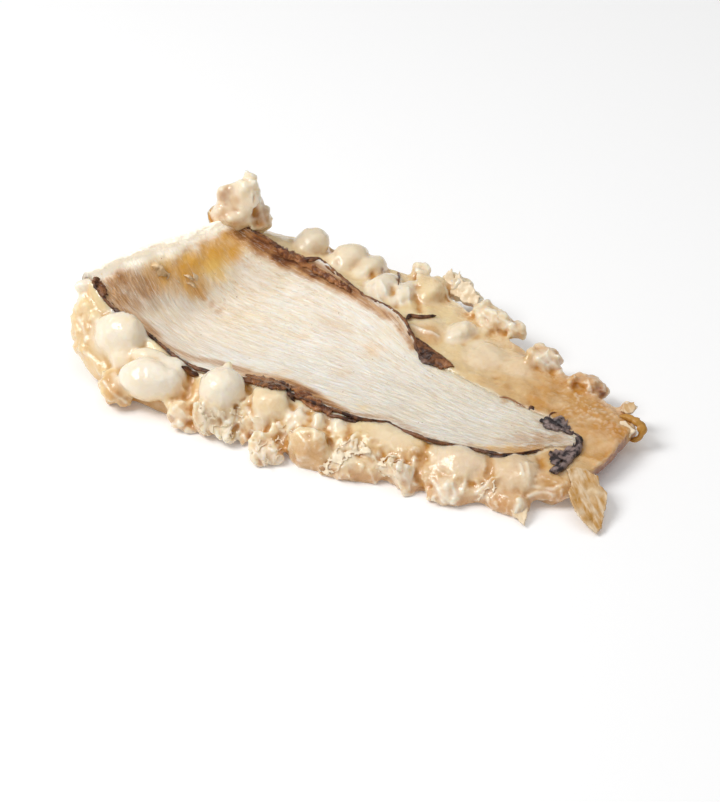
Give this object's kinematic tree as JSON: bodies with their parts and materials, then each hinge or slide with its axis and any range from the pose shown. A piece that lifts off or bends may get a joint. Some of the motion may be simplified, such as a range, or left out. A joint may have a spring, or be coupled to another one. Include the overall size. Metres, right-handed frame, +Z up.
{
  "type": "stockfish belly",
  "caption": "Opened, spread belly piece of dried cod: a pale fibrous panel in a shallow trough, edged with dark membrane, soft lobes and torn shreds.",
  "frame": {"origin": "on the ground, under the middle of the piece's bounding box", "axes": "+X from the broad end to the narrow end, +Y towards the higher long side, +Z up"},
  "size_m": [0.1942, 0.1098, 0.0544],
  "materials": {
    "flesh": "moist, gelatinous, slightly translucent cream flesh with amber hollows",
    "fibres": "satin, finely fibrous pale lining with brown corners",
    "membrane": "thin, glossy dark brown to black membrane along the lining's edges",
    "shreds": "thin, torn, translucent pale yellow shreds and flakes"
  },
  "bodies": {
    "root": {"stockfish_belly": "flesh"}
  },
  "joints": []
}
